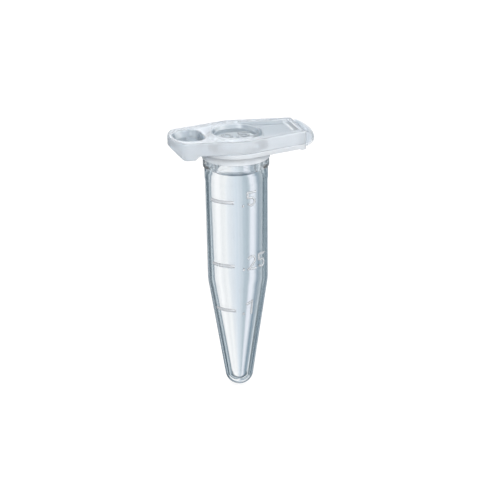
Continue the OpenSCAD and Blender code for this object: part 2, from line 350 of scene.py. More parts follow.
# %% Soft lamps
# Name, place and size in millimetres, and power in watts
LAMPS = (
    ("key_lamp", (-170.0, -260.0, 90.0), 150.0, 0.50),
    ("fill_lamp", (230.0, -190.0, 60.0), 150.0, 0.38),
    ("back_lamp", (60.0, 240.0, 160.0), 160.0, 0.16),
)


def add_lamp(name, place_mm, size_mm, watts):
    """Round soft lamp that looks at the middle of the tube."""
    data = bpy.data.lights.new(name, "AREA")
    data.shape = "DISK"
    data.size = size_mm * MM
    data.energy = watts
    lamp = add_object(name, data)
    lamp.location = Vector(place_mm) * MM
    aim = Vector((0.0, 0.0, VIEW_CENTRE_Z)) - Vector(place_mm)
    lamp.rotation_euler = aim.to_track_quat("-Z", "Y").to_euler()
    lamp.visible_transmission = False


for lamp_row in LAMPS:
    add_lamp(*lamp_row)
print("lamps:", ", ".join(row[0] for row in LAMPS))

# %% [markdown]
# ## Finishes
# All pieces come out of one mould, so they share its skin: faint clouds where the melt flowed, and a grain
# too fine to see on its own that softens the shine. One shader group makes both from Object coordinates,
# and each finish takes as much of it as it needs. The Principled shader stays in the material itself.

# %% Shader group for the moulded skin
FLOW_STRETCH = (1.0, 1.0, 0.45)
HAZE_FROM = 0.32
HAZE_FULL = 0.68

skin, skin_in, skin_out = new_group(
    "Moulded skin",
    "ShaderNodeTree",
    (
        ("Cloud scale", "NodeSocketFloat", 260.0),
        ("Grain scale", "NodeSocketFloat", 5200.0),
        ("Grain share", "NodeSocketFloat", 0.3),
    ),
    (("Haze", "NodeSocketFloat"), ("Relief", "NodeSocketFloat")),
)
skin_place = add_node(skin, "ShaderNodeTexCoord").outputs["Object"]
stretched = add_node(skin, "ShaderNodeMapping", {"Vector": skin_place, "Scale": FLOW_STRETCH}).outputs[0]
clouds = add_node(skin, "ShaderNodeTexNoise", {
    "Vector": stretched, "Scale": skin_in["Cloud scale"], "Detail": 3.0, "Roughness": 0.55,
}).outputs["Fac"]
grain = add_node(skin, "ShaderNodeTexNoise", {
    "Vector": skin_place, "Scale": skin_in["Grain scale"], "Detail": 2.0,
}).outputs["Fac"]
haze = map_range(skin, clouds, HAZE_FROM, HAZE_FULL, kind="SMOOTHSTEP")
relief = add_node(skin, "ShaderNodeMix", {0: skin_in["Grain share"], 2: clouds, 3: grain}).outputs[0]
skin.links.new(haze, skin_out["Haze"])
skin.links.new(relief, skin_out["Relief"])
print("shader group:", skin.name)

# %% [markdown]
# ## One recipe, several finishes
# Clear plastic shows dark edges where it is met at a grazing angle. Here they are painted shade: a Layer
# Weight node finds those places and turns the base colour to a darker edge colour. The wall fills more of
# the narrow cone than of the barrel, so down the cone the painted shade begins nearer the middle.
# Polished walls let all the light through. Lid, rim and strap are satin: part of the light scatters, so they
# look milky. The tube's floor, the plug's rolled foot and the lid's pockets have darker colours of their own,
# which are painted shade. The faces of a thin wall lie so close that light leaves almost the way it came, so
# plug, strap and the lid's numerals bend it less than the solid plastic does.

# %% Recipe for a moulded plastic
SHADE_SPAN = 0.14
SKIN_DEPTH = 0.02
# Roughness of clear and of hazy spots, bump, refractive index, share of light let through, and absorption
POLISHED = {
    "smooth": 0.01, "rough": 0.04, "bump": 0.1, "index": 1.49, "through": 1.0,
    "tint": (0.45, 0.65, 0.74), "density": 10.0,
}
SATIN = {
    "smooth": 0.12, "rough": 0.2, "bump": 0.3, "index": 1.42, "through": 0.68,
    "tint": (0.55, 0.72, 0.82), "density": 10.0,
}


def moulded_plastic(name, clear, hazy, edge, shade_from, smooth, rough, bump, index, through, tint, density):
    """Plastic of a clear and a hazy colour that turns to an edge colour at grazing angles, as painted edge shade.

    The painted edge shade starts at a share of the facing scale: a number, or a function that adds the nodes for
    it.
    """
    material = bpy.data.materials.new(name)
    tree = empty_tree(material)
    surface = add_node(tree, "ShaderNodeGroup", node_tree=skin)
    body = mix_colours(tree, surface.outputs["Haze"], opaque(clear), opaque(hazy))
    facing = add_node(tree, "ShaderNodeLayerWeight", {"Blend": 0.5}).outputs["Facing"]
    # Painted edge shade: towards grazing angles the base colour turns to the edge colour.
    past_start = calc(tree, "SUBTRACT", facing, shade_from(tree) if callable(shade_from) else shade_from)
    grazing_shade = map_range(tree, past_start, 0.0, SHADE_SPAN, kind="SMOOTHSTEP")
    colour = mix_colours(tree, grazing_shade, body, opaque(edge))
    roughness = map_range(tree, surface.outputs["Haze"], 0.0, 1.0, smooth, rough)
    normal = add_node(tree, "ShaderNodeBump", {
        "Strength": bump, "Distance": SKIN_DEPTH * MM, "Height": surface.outputs["Relief"],
    }).outputs[0]
    shader = add_node(tree, "ShaderNodeBsdfPrincipled", {
        "Base Color": colour, "Roughness": roughness, "Normal": normal,
        "IOR": index, "Transmission Weight": through, "Metallic": 0.0,
    })
    depth = add_node(tree, "ShaderNodeVolumeAbsorption", {"Color": opaque(tint), "Density": density})
    add_node(tree, "ShaderNodeOutputMaterial", {"Surface": shader.outputs[0], "Volume": depth.outputs[0]})
    return material


print(f"recipe: edges darken over {SHADE_SPAN} of the facing scale")

# %% Polished finishes of the tube and the plug
CLEAR = (0.995, 1.0, 1.0)
HAZY = (0.99, 0.995, 1.0)
THIN_WALL = POLISHED | {"index": 1.2}
# Facing values where the tube's painted edge shade begins, on the barrel and at the cone's foot
BARREL_SHADE_START = 0.47
CONE_FOOT_SHADE_START = 0.32
TIP_FADE = 0.5


def wall_shade_start(tree):
    """Where the tube's painted edge shade begins: nearer the middle down the cone, and back again at the tip."""
    place = add_node(tree, "ShaderNodeTexCoord").outputs["Object"]
    height = add_node(tree, "ShaderNodeSeparateXYZ", {0: place}).outputs["Z"]
    on_cone = map_range(tree, height, tip_centre_z * MM, barrel_z * MM, CONE_FOOT_SHADE_START, BARREL_SHADE_START)
    fade_low = (tip_centre_z - TIP_FADE) * MM
    fade_high = (tip_centre_z + TIP_FADE) * MM
    at_tip = map_range(tree, height, fade_low, fade_high, BARREL_SHADE_START, 0.0)
    return calc(tree, "MAXIMUM", on_cone, at_tip)


# Each edge colour is painted edge shade; the tube's is the darkest, for its dark outline.
clear_plastic = moulded_plastic("clear_tube_plastic", CLEAR, HAZY, (0.16, 0.21, 0.25), wall_shade_start, **POLISHED)
bore_plastic = moulded_plastic("polished_bore_plastic", CLEAR, HAZY, (0.30, 0.38, 0.43), 0.72, **POLISHED)
# Painted shade: the tube's floor turns nearly black at grazing angles, for the dark arc round the tip.
floor_shade_plastic = moulded_plastic("round_floor_plastic", CLEAR, HAZY, (0.09, 0.13, 0.16), 0.25, **POLISHED)
plug_plastic = moulded_plastic("thin_plug_plastic", CLEAR, HAZY, (0.62, 0.70, 0.75), 0.72, **THIN_WALL)
# Painted shade: the rolled foot is dark where it faces the eye, for the dark band round the plug's foot.
foot_shade_plastic = moulded_plastic(
    "rolled_foot_plastic", (0.28, 0.33, 0.37), (0.30, 0.35, 0.39), (0.90, 0.93, 0.96), 0.26, **THIN_WALL,
)
polished_finishes = (clear_plastic, bore_plastic, floor_shade_plastic, plug_plastic, foot_shade_plastic)
print("polished:", ", ".join(plastic.name for plastic in polished_finishes))

# %% Satin finishes of the lid, rim and strap
lid_plastic = moulded_plastic(
    "satin_lid_plastic", (0.955, 0.98, 1.0), (0.92, 0.95, 0.985), (0.86, 0.90, 0.95), 0.42, **SATIN,
)
# Painted shade: the pockets are darker and absorb more, for the shade in the lid's recesses.
pocket_shade_plastic = moulded_plastic(
    "thin_pocket_plastic", (0.88, 0.93, 0.955), (0.83, 0.89, 0.925), (0.66, 0.74, 0.80), 0.42,
    **(SATIN | {"density": 25.0}),
)
side_plastic = moulded_plastic(
    "satin_side_plastic", (0.92, 0.955, 0.99), (0.89, 0.93, 0.975), (0.86, 0.90, 0.95), 0.42,
    **(SATIN | {"through": 0.5}),
)
neck_plastic = moulded_plastic(
    "satin_neck_plastic", (0.98, 0.99, 1.0), (0.95, 0.97, 0.99), (0.80, 0.86, 0.90), 0.6,
    **(SATIN | {"smooth": 0.06, "rough": 0.12, "through": 0.84}),
)
milky_plastic = moulded_plastic(
    "milky_rim_plastic", (0.94, 0.97, 1.0), (0.91, 0.945, 0.985), (0.88, 0.92, 0.97), 0.42,
    **(SATIN | {"through": 0.28}),
)
strap_plastic = moulded_plastic(
    "supple_strap_plastic", (0.99, 0.995, 1.0), (0.97, 0.985, 1.0), (0.96, 0.98, 1.0), 0.5,
    **(SATIN | {"smooth": 0.35, "rough": 0.45, "index": 1.06, "through": 0.95, "density": 5.0}),
)
relief_plastic = moulded_plastic(
    "frosted_relief_plastic", (0.95, 0.965, 0.99), (0.91, 0.935, 0.965), (0.86, 0.90, 0.94), 0.42,
    **(SATIN | {"smooth": 0.2, "rough": 0.3, "through": 0.5}),
)
numeral_plastic = moulded_plastic(
    "satin_numeral_plastic", (0.91, 0.945, 0.975), (0.88, 0.92, 0.955), (0.88, 0.92, 0.955), 0.42,
    **(SATIN | {"index": 1.2, "through": 0.6}),
)
satin_finishes = (
    lid_plastic, pocket_shade_plastic, side_plastic, neck_plastic, milky_plastic, strap_plastic, relief_plastic,
    numeral_plastic,
)
print("satin:", ", ".join(plastic.name for plastic in satin_finishes))

# %% [markdown]
# ## Soft corners
# A mould can't make a knife edge, and light on a rounded edge is what makes plastic look real. Each turned
# shape is drawn as a line of corners with a radius for each. The helper below puts a short arc in place of
# a corner, and a guard point beside it, so that smooth shading stays flat on the long stretches between.

# %% Round the corners of a profile
ARC_STEPS = 5
GUARD = 0.03
CORNER_ROOM = 0.48


def rounded(corners):
    """Points (radius, height, reach) of a line of corners (radius, height, arc radius, reach)."""
    line = []
    for number, (r, z, arc_r, reach) in enumerate(corners):
        here = Vector((r, z))
        if arc_r == 0.0 or number in (0, len(corners) - 1):
            line.append((r, z, reach))
            continue
        before = Vector(corners[number - 1][:2]) - here
        after = Vector(corners[number + 1][:2]) - here
        room = CORNER_ROOM * min(before.length, after.length)
        before.normalize()
        after.normalize()
        half_angle = before.angle(after) / 2
        cut = min(arc_r / math.tan(half_angle), room)
        centre = here + (before + after).normalized() * (cut / math.cos(half_angle))
        first = here + before * cut - centre
        last = here + after * cut - centre
        start = math.atan2(first.y, first.x)
        sweep = math.remainder(math.atan2(last.y, last.x) - start, 2.0 * math.pi)
        turns = [start + sweep * step / ARC_STEPS for step in range(ARC_STEPS + 1)]
        arc = [centre + first.length * Vector((math.cos(a), math.sin(a))) for a in turns]
        ends = [here + before * (cut + GUARD)] if cut + GUARD < 2 * room else []
        tails = [here + after * (cut + GUARD)] if cut + GUARD < 2 * room else []
        line += [(p.x, p.y, reach) for p in ends + arc + tails]
    return line


def eased(distance, width):
    """0 outside an edge and 1 inside it, with a soft slope of that width between."""
    share = min(max(distance / width + 0.5, 0.0), 1.0)
    return share * share * (3.0 - 2.0 * share)


def soft_min(a, b, width):
    """The smaller of two distances, with the corner where they meet rounded over that width."""
    overlap = max(width - abs(a - b), 0.0) / width
    return min(a, b) - overlap * overlap * width / 4.0


print(f"arcs of {ARC_STEPS} steps, guard points {GUARD} mm beside them")

# %% [markdown]
# ## Tube
# Barrel, cone, tip, neck and mouth are one turned wall, so their shape follows a rule: a profile swept round
# the axis. Only the rim breaks it, where the flange grows a tongue towards the hinge. Spin would make a
# round flange, so a Geometry Nodes tree does the turning instead: a grid whose columns are spokes and whose
# rows are points of the profile. A profile point's third number, its reach, says how far it follows the
# flange's outline. The outline is the nearer of two straight lines, the tongue's end and its tangent side.
# Afterwards a rule gives each face its finish, from where the face lies and which way it looks.

# %% Geometry Nodes tree that turns the wall
TUBE_SPOKES = 256
TONGUE_CORNER = 0.5
BAR_SLOPE = 0.12
SEAM = 0.002
LEAST_COSINE = 0.05
tongue_end = Vector((bar_end_x, tongue_w / 2))
side_angle = math.atan2(tongue_end.y, tongue_end.x) + math.acos(flange_r / tongue_end.length)


def end_tree(tree, geometry, plastic, out):
    """Last nodes of a tree that makes a piece: smooth, real and of a plastic."""
    smooth = add_node(tree, "GeometryNodeSetShadeSmooth", {"Geometry": geometry})
    real = add_node(tree, "GeometryNodeRealizeInstances", {"Geometry": smooth.outputs[0]})
    coated = add_node(tree, "GeometryNodeSetMaterial", {"Geometry": real.outputs[0], "Material": plastic})
    tree.links.new(coated.outputs[0], out)


turning, turn_in, turn_out = new_group(
    "Turned wall",
    "GeometryNodeTree",
    (
        ("Profile", "NodeSocketGeometry", None),
        ("Spokes", "NodeSocketInt", TUBE_SPOKES),
        ("Flange radius", "NodeSocketFloat", flange_r * MM),
        ("Tongue end", "NodeSocketFloat", bar_end_x * MM),
        ("Side angle", "NodeSocketFloat", side_angle),
        ("Tongue corner", "NodeSocketFloat", TONGUE_CORNER * MM),
        ("Bar start", "NodeSocketFloat", bar_x * MM),
        ("Bar drop", "NodeSocketFloat", bar_drop * MM),
        ("Flange top", "NodeSocketFloat", rim_z * MM),
        ("Plastic", "NodeSocketMaterial", None),
    ),
    (("Wall", "NodeSocketGeometry"),),
)
profile_size = add_node(turning, "GeometryNodeAttributeDomainSize", {"Geometry": turn_in["Profile"]})
rows = profile_size.outputs["Point Count"]
grid = add_node(turning, "GeometryNodeMeshGrid", {
    "Vertices X": calc(turning, "ADD", turn_in["Spokes"], 1.0), "Vertices Y": rows,
})
index = add_node(turning, "GeometryNodeInputIndex").outputs[0]
spoke = calc(turning, "FLOOR", calc(turning, "DIVIDE", calc(turning, "ADD", index, 0.5), rows))
row = calc(turning, "SUBTRACT", index, calc(turning, "MULTIPLY", spoke, rows))
sampled = add_node(turning, "GeometryNodeSampleIndex", {
    "Geometry": turn_in["Profile"],
    "Value": add_node(turning, "GeometryNodeInputPosition").outputs[0],
    "Index": row,
}, data_type="FLOAT_VECTOR", domain="POINT").outputs[0]
drawn = add_node(turning, "ShaderNodeSeparateXYZ", {0: sampled}).outputs
turn_share = calc(turning, "SUBTRACT", calc(turning, "DIVIDE", spoke, turn_in["Spokes"]), 0.5)
turn = calc(turning, "MULTIPLY", turn_share, 2.0 * math.pi)
ahead = calc(turning, "COSINE", turn)
end_line = calc(turning, "DIVIDE", turn_in["Tongue end"], calc(turning, "MAXIMUM", ahead, LEAST_COSINE))
lean = calc(turning, "SUBTRACT", turn_in["Side angle"], calc(turning, "ABSOLUTE", turn))
lean_cosine = calc(turning, "COSINE", calc(turning, "MAXIMUM", lean, 0.0))
side_line = calc(turning, "DIVIDE", turn_in["Flange radius"], lean_cosine)
outline = calc(turning, "SMOOTH_MIN", end_line, side_line, turn_in["Tongue corner"])
growth = calc(turning, "SUBTRACT", outline, turn_in["Flange radius"])
radius = calc(turning, "MULTIPLY_ADD", growth, drawn["Y"], drawn["X"])
x_place = calc(turning, "MULTIPLY", radius, ahead)
y_place = calc(turning, "MULTIPLY", radius, calc(turning, "SINE", turn))
slope_start = calc(turning, "SUBTRACT", turn_in["Bar start"], BAR_SLOPE * MM)
slope_end = calc(turning, "ADD", turn_in["Bar start"], BAR_SLOPE * MM)
on_bar = map_range(turning, x_place, slope_start, slope_end, kind="SMOOTHSTEP")
below = calc(turning, "SUBTRACT", 1.0, calc(turning, "DIVIDE", drawn["Z"], turn_in["Flange top"]))
sunk = calc(turning, "MULTIPLY", calc(turning, "MULTIPLY", on_bar, below), turn_in["Bar drop"])
placed = add_node(turning, "ShaderNodeCombineXYZ", {
    0: x_place, 1: y_place, 2: calc(turning, "SUBTRACT", drawn["Z"], sunk),
}).outputs[0]
turned = add_node(turning, "GeometryNodeSetPosition", {"Geometry": grid.outputs["Mesh"], "Position": placed})
closed = add_node(turning, "GeometryNodeMergeByDistance", {
    "Geometry": turned.outputs[0], "Distance": SEAM * MM,
})
end_tree(turning, closed.outputs[0], turn_in["Plastic"], turn_out["Wall"])
print(f"tree {turning.name}: {len(turning.nodes)} nodes")

# %% Run a tree on a line drawing and keep a plain mesh
def outward(mesh):
    """The mesh with its faces turned outward; its volume and open edges are printed."""
    work = bmesh.new()
    work.from_mesh(mesh)
    bmesh.ops.recalc_face_normals(work, faces=work.faces)
    if work.calc_volume(signed=True) < 0.0:
        bmesh.ops.reverse_faces(work, faces=work.faces)
    volume = work.calc_volume(signed=True)
    open_edges = sum(1 for edge in work.edges if not edge.is_manifold)
    work.to_mesh(mesh)
    work.free()
    print(f"  {mesh.name}: {len(mesh.polygons)} faces, {volume / MM ** 3:.1f} mm3, {open_edges} open edges")
    return mesh


def run_tree(name, tree, points, edges, sizes, attributes=()):
    """Piece made by a Geometry Nodes tree from points and edges in metres."""
    drawing = bpy.data.meshes.new(name + "_drawing")
    drawing.from_pydata(points, edges, [])
    for label, values in attributes:
        drawing.attributes.new(label, "FLOAT", "POINT").data.foreach_set("value", values)
    piece = add_object(name, drawing)
    modifier = piece.modifiers.new(tree.name, "NODES")
    modifier.node_group = tree
    for socket in tree.interface.items_tree:
        if socket.in_out == "INPUT" and socket.name in sizes:
            modifier[socket.identifier] = sizes[socket.name]
    evaluated = piece.evaluated_get(bpy.context.evaluated_depsgraph_get())
    made = bpy.data.meshes.new_from_object(evaluated)
    made.name = name
    piece.modifiers.clear()
    piece.data = outward(made)
    bpy.data.meshes.remove(drawing)
    return piece


print("tree runner ready")

# %% Draw the tube's profile and turn it
RIM_ROWS = 24
BALL_STEPS = 12
CONE_BEND = 6.0
SEAT_BEND = 1.5
RIM_ROUND = 0.14
COLLAR_ROUND = 0.12
COLLAR_ROOT = 0.04
NECK_ROUND = 0.1
NECK_ROOT = 0.06
LAND_ROUND = 0.03
LAND_ROOT = 0.02


def tangent_angle(r, height, ball_r):
    """Half angle of a cone that starts at radius r and runs smoothly into a ball below it."""
    return math.atan2(r, height) - math.asin(ball_r / math.hypot(r, height))


def ball_points(ball_r, centre_z, start):
    """Points of a ball's lower half, from an angle below its waist down to its lowest point."""
    angles = [start + step * (math.pi / 2 - start) / BALL_STEPS for step in range(BALL_STEPS + 1)]
    return [(ball_r * math.cos(a), centre_z - ball_r * math.sin(a), 0.0, 0.0) for a in angles]


outer_tip = ball_points(tip_r, tip_centre_z, tangent_angle(barrel_end_r, barrel_z - tip_centre_z, tip_r))
inner_tip = ball_points(bore_tip_r, bore_tip_z, tangent_angle(bore_end_r, barrel_z - bore_tip_z, bore_tip_r))
rim_steps = [step / RIM_ROWS for step in range(RIM_ROWS - 1, 0, -1)]
under_rim = [(collar_r + s * (flange_r - collar_r), 0.0, 0.0, s) for s in rim_steps]
tube_corners = [
    *reversed(inner_tip),
    (bore_end_r, barrel_z, CONE_BEND, 0.0),
    (seat_r, seat_z, SEAT_BEND, 0.0),
    (mouth_r, rim_z, RIM_ROUND, 0.0),
    (flange_r, rim_z, RIM_ROUND, 1.0),
    (flange_r, 0.0, RIM_ROUND, 1.0),
    *under_rim,
    (collar_r, 0.0, 0.0, 0.0),
    (collar_r, -collar_h, COLLAR_ROUND, 0.0),
    (neck_r, -collar_h, COLLAR_ROOT, 0.0),
    (neck_r, neck_z, NECK_ROUND, 0.0),
    (land_r, neck_z, NECK_ROOT, 0.0),
    (land_r, land_z, LAND_ROUND, 0.0),
    (barrel_top_r, land_z, LAND_ROOT, 0.0),
    (barrel_end_r, barrel_z, CONE_BEND, 0.0),
    *outer_tip,
]
tube_line = [(r * MM, reach, z * MM) for r, z, reach in rounded(tube_corners)]
tube_edges = [(i, i + 1) for i in range(len(tube_line) - 1)]
tube_shell = run_tree("tube_shell", turning, tube_line, tube_edges, {"Plastic": clear_plastic})
print(f"tube: {len(tube_line)} profile points, tongue side at {math.degrees(side_angle):.1f} degrees")

# %% Give each stretch of the wall its finish
TOUCH = 0.05
FLOOR_DIP = 0.35


def coat(piece, plastics, choose):
    """Give a piece its plastics, and each face the one that a rule picks from its middle and normal."""
    piece.data.materials.clear()
    for plastic in plastics:
        piece.data.materials.append(plastic)
    for face in piece.data.polygons:
        face.material_index = plastics.index(choose(face.center / MM, face.normal))


def tube_finish(middle, normal):
    """Milky rim, satin neck, floor in painted shade, polished bore, and clear wall for the rest."""
    if middle.xy.length > land_r + TOUCH:
        return milky_plastic if middle.z > -collar_h - TOUCH else neck_plastic
    if normal.z > 0.0 and middle.xy.length < tip_r and middle.z < bore_tip_z - FLOOR_DIP:
        return floor_shade_plastic
    return bore_plastic if normal.xy.dot(middle.xy) < 0.0 else clear_plastic


coat(tube_shell, [clear_plastic, bore_plastic, floor_shade_plastic, neck_plastic, milky_plastic], tube_finish)
print(f"tube: {len(tube_shell.data.materials)} finishes")

# %% [markdown]
# ## Lid
# The lid is a flat slab with a round middle, a tapered end at the hinge and a wide thumb tab. Its top has a
# round recess, a shallow panel and a finger well, and a hollow plug hangs below. Booleans would leave hard
# edges that are awkward to soften. Instead each point of the top gets its height from how far inside each
# pocket it lies, with a soft slope at the pocket's edge, and the surface is then sewn ring by ring from the
# middle of the top, over the rim, along the underside and down the plug to the middle again. Sides, pockets
# and plug then get their own finishes, by a rule for each face as on the tube.

# %% Outline of the lid, as a distance from the axis in each direction
LID_CORNER = 0.25
border_w = 1.25
panel_end_w = 0.2
panel_end_x = bar_x - panel_end_w
panel_x = 1.5
panel_depth = 0.3
recess_r = 2.8
recess_ring_w = 0.3
recess_depth = lid_top_z - plate_top_z
lid_end_w = 6.0
tab_end_r = 5.4
tab_w = 6.66
tab_corner_r = 1.0
tab_centre_x = tab_end_r - tab_reach
tab_corner_y = tab_w / 2 - tab_corner_r
tab_corner_x = tab_centre_x - math.sqrt((tab_end_r - tab_corner_r) ** 2 - tab_corner_y ** 2)
well_border = 0.75
well_w = 4.4
well_x = 4.35
well_corner_r = 1.5
well_depth = 0.9

end_corner = Vector((bar_end_x, lid_end_w / 2))
hinge_side = math.atan2(end_corner.y, end_corner.x) + math.acos(lid_r / end_corner.length)
tab_corner = Vector((tab_corner_x, tab_corner_y))
tab_side = math.atan2(tab_corner.y, tab_corner.x) - math.acos((lid_r - tab_corner_r) / tab_corner.length)
side_end = tab_corner + tab_corner_r * Vector((math.cos(tab_side), math.sin(tab_side)))
arc_end = tab_corner + tab_corner_r * (tab_corner - Vector((tab_centre_x, 0.0))).normalized()
side_end_turn = math.atan2(side_end.y, side_end.x)
arc_end_turn = math.atan2(arc_end.y, arc_end.x)


def to_circle(turn, centre, r):
    """Distance from the axis to the far side of a circle in a direction."""
    way = Vector((math.cos(turn), math.sin(turn)))
    beside = way.x * centre.y - way.y * centre.x
    return way.dot(centre) + math.sqrt(max(r * r - beside * beside, 0.0))


def lid_outline(turn):
    """Distance from the axis to the lid's edge in a direction between minus and plus half a turn."""
    turn = abs(turn)
    if turn > arc_end_turn:
        return to_circle(turn, Vector((tab_centre_x, 0.0)), tab_end_r)
    if turn > side_end_turn:
        return to_circle(turn, tab_corner, tab_corner_r)
    off_round = max(hinge_side - turn, 0.0) + max(turn - tab_side, 0.0)
    sides = lid_r / math.cos(off_round)
    return soft_min(sides, bar_end_x / max(math.cos(turn), LEAST_COSINE), LID_CORNER)


print(f"lid sides at {math.degrees(hinge_side):.1f} and {math.degrees(tab_side):.1f} degrees")

# %% Height of the lid's top and underside
POCKET_SLOPE = 0.24
PANEL_SLOPE = 0.5
WELL_SLOPE = 0.34
tab_tip_t = 1.1
tab_grip_len = 1.8
tab_drop = lid_z - tab_low.z
tab_chamfer = lid_top_z - tab_low.z - tab_tip_t
grip_x = tab_reach - tab_chamfer - tab_grip_len + tab_drop


def lid_top(x, y):
    """Height of the lid's top at a place, lowered by each pocket that the place lies in."""
    r = math.hypot(x, y)
    beside_hinge = lid_r - (x * math.cos(hinge_side) + abs(y) * math.sin(hinge_side))
    panel = min(beside_hinge - border_w, panel_end_x - x, x - panel_x, r - recess_r - recess_ring_w)
    before_tip = tab_end_r - well_border - math.hypot(x - tab_centre_x, y)
    well = soft_min(well_w / 2 - abs(y), before_tip, well_corner_r)
    well = soft_min(well, -well_x - x, well_corner_r)
    return (
        lid_top_z
        - recess_depth * eased(recess_r - r, POCKET_SLOPE)
        - panel_depth * eased(panel, PANEL_SLOPE)
        - well_depth * eased(well, WELL_SLOPE)
    )


def lid_under(x):
    """Height of the underside: flat, then the drop of the tab's grip, then its chamfer."""
    dropped = lid_z - min(max(tab_drop - grip_x - x, 0.0), tab_drop)
    return max(dropped, lid_top_z - tab_tip_t - (x + tab_reach))


print(f"recess {recess_depth:.2f}, panel {panel_depth:.2f}, finger well {well_depth:.2f} mm deep")

# %% Profile of the sealing plug
PLUG_STEPS = 5
ROOT_W = 0.3
ROOT_ROUND = 0.05
FOOT_ROUND = 0.24
HOLLOW_ROUND = 0.4
plug_gap = 0.06
plug_wall = 0.5
fold_mid_z = (fold_low_z + fold_high_z) / 2


def plug_r(z):
    """The plug follows the mouth, but keeps inside the arc that it swings out on."""
    low = min(z, rim_z)
    mouth = mouth_r - (mouth_r - seat_r) * (rim_z - low) / (rim_z - seat_z)
    swing = ((fold_mid_z - low) ** 2 - (fold_mid_z - rim_z) ** 2) / (2 * (fold_x + bore_end_r))
    return min(mouth, mouth_r - swing) - plug_gap


plug_bore_r = plug_r(plug_z) - plug_wall
plug_heights = [lid_z + step * (plug_z - lid_z) / PLUG_STEPS for step in range(1, PLUG_STEPS)]
plug_line = rounded([
    (plug_r(lid_z) + ROOT_W, lid_z, 0.0, 0.0),
    (plug_r(lid_z), lid_z, ROOT_ROUND, 0.0),
    *((plug_r(z), z, 0.0, 0.0) for z in plug_heights),
    (plug_r(plug_z), plug_z, FOOT_ROUND, 0.0),
    (plug_bore_r, plug_z, FOOT_ROUND, 0.0),
    (plug_bore_r, lid_z, HOLLOW_ROUND, 0.0),
    (0.0, lid_z, 0.0, 0.0),
])
print(f"plug: {len(plug_line)} points, radius {plug_r(plug_z):.2f} at its foot")

# %% Sew the lid ring by ring
LID_SPOKES = 400
LID_TOP_EDGE = 0.24
LID_FOOT_EDGE = 0.14
EDGE_STEPS = 7
FLAT_STEP = 0.24
FLAT_ROWS = 10
SLOPE_R = 2.45
SLOPE_STEP = 0.05
SLOPE_ROWS = 24
ROUND_R = 3.6
OUTER_ROWS = 56
UNDER_ROWS = 34


def sewn(name, rings, caps=()):
    """Closed mesh through rings of points; a ring of one point closes an end, or faces that are given do."""
    points = []
    starts = []
    for ring in rings:
        starts.append(len(points))
        points += [(x * MM, y * MM, z * MM) for x, y, z in ring]
    faces = []
    for number in range(len(rings) - 1):
        a, b = starts[number], starts[number + 1]
        n_a, n_b = len(rings[number]), len(rings[number + 1])
        for i in range(max(n_a, n_b)):
            j = i + 1
            corners = [a + i % n_a, a + j % n_a, b + j % n_b, b + i % n_b]
            faces.append(tuple(dict.fromkeys(corners)))
    mesh = bpy.data.meshes.new(name)
    mesh.from_pydata(points, [], [*faces, *caps])
    mesh.shade_smooth()
    return outward(mesh)


spokes = [(number / LID_SPOKES - 0.5) * 2.0 * math.pi for number in range(LID_SPOKES)]
edges_at = [lid_outline(turn) for turn in spokes]
compass = [(math.cos(turn), math.sin(turn)) for turn in spokes]
quarter_turn = [step / EDGE_STEPS * math.pi / 2 for step in range(EDGE_STEPS + 1)]


def ring_of(radii, height):
    """Ring of points from a radius for each spoke and a height for each place."""
    return [(r * c, r * s, height(r * c, r * s)) for r, (c, s) in zip(radii, compass)]


flat_radii = [FLAT_STEP * step for step in range(1, FLAT_ROWS + 1)]
slope_radii = [SLOPE_R + SLOPE_STEP * step for step in range(SLOPE_ROWS)]
lid_rings = [[(0.0, 0.0, lid_top(0.0, 0.0))]]
for r in flat_radii + slope_radii:
    lid_rings.append(ring_of([r] * LID_SPOKES, lid_top))
for step in range(1, OUTER_ROWS + 1):
    share = step / OUTER_ROWS
    radii = [ROUND_R + share * (edge - LID_TOP_EDGE - ROUND_R) for edge in edges_at]
    lid_rings.append(ring_of(radii, lid_top))
for angle in quarter_turn[1:]:
    radii = [edge - LID_TOP_EDGE * (1.0 - math.sin(angle)) for edge in edges_at]
    level = lid_top_z - LID_TOP_EDGE * (1.0 - math.cos(angle))
    lid_rings.append(ring_of(radii, lambda x, y: level))
for angle in quarter_turn:
    radii = [edge - LID_FOOT_EDGE * (1.0 - math.cos(angle)) for edge in edges_at]
    lift = LID_FOOT_EDGE * (1.0 - math.sin(angle))
    lid_rings.append(ring_of(radii, lambda x, y: lid_under(x) + lift))
root_r = plug_line[0][0]
for step in range(UNDER_ROWS - 1, 0, -1):
    share = step / UNDER_ROWS
    radii = [root_r + share * (edge - LID_FOOT_EDGE - root_r) for edge in edges_at]
    lid_rings.append(ring_of(radii, lambda x, y: lid_under(x)))
for r, level, _ in plug_line[:-1]:
    lid_rings.append(ring_of([r] * LID_SPOKES, lambda x, y: level))
lid_rings.append([(0.0, 0.0, plug_line[-1][1])])


def add_piece(name, mesh, plastic):
    """Object of a mesh, in one plastic."""
    mesh.materials.append(plastic)
    return add_object(name, mesh)


lid_shell = add_piece("lid_shell", sewn("lid_shell", lid_rings), lid_plastic)
print(f"lid: {len(lid_rings)} rings of {LID_SPOKES} points")

# %% Give the lid's slab, pockets and plug their finishes
PLUG_ROOT = 1.0
FOOT_H = 0.6
POCKET_RIM = 0.08
STEEP = 0.8


def lid_finish(middle, normal):
    """Thin plug with its rolled foot in painted shade, pockets in painted shade, steep sides, and satin for the
    rest.
    """
    if middle.xy.length < root_r and middle.z < lid_z - PLUG_ROOT:
        return foot_shade_plastic if middle.z < plug_z + FOOT_H else plug_plastic
    if normal.z > 0.0 and lid_top(middle.x, middle.y) < lid_top_z - POCKET_RIM:
        return side_plastic if middle.x > panel_end_x - PANEL_SLOPE else pocket_shade_plastic
    return side_plastic if abs(normal.z) < STEEP else lid_plastic


coat(lid_shell, [lid_plastic, side_plastic, pocket_shade_plastic, plug_plastic, foot_shade_plastic], lid_finish)
print(f"lid: {len(lid_shell.data.materials)} finishes")

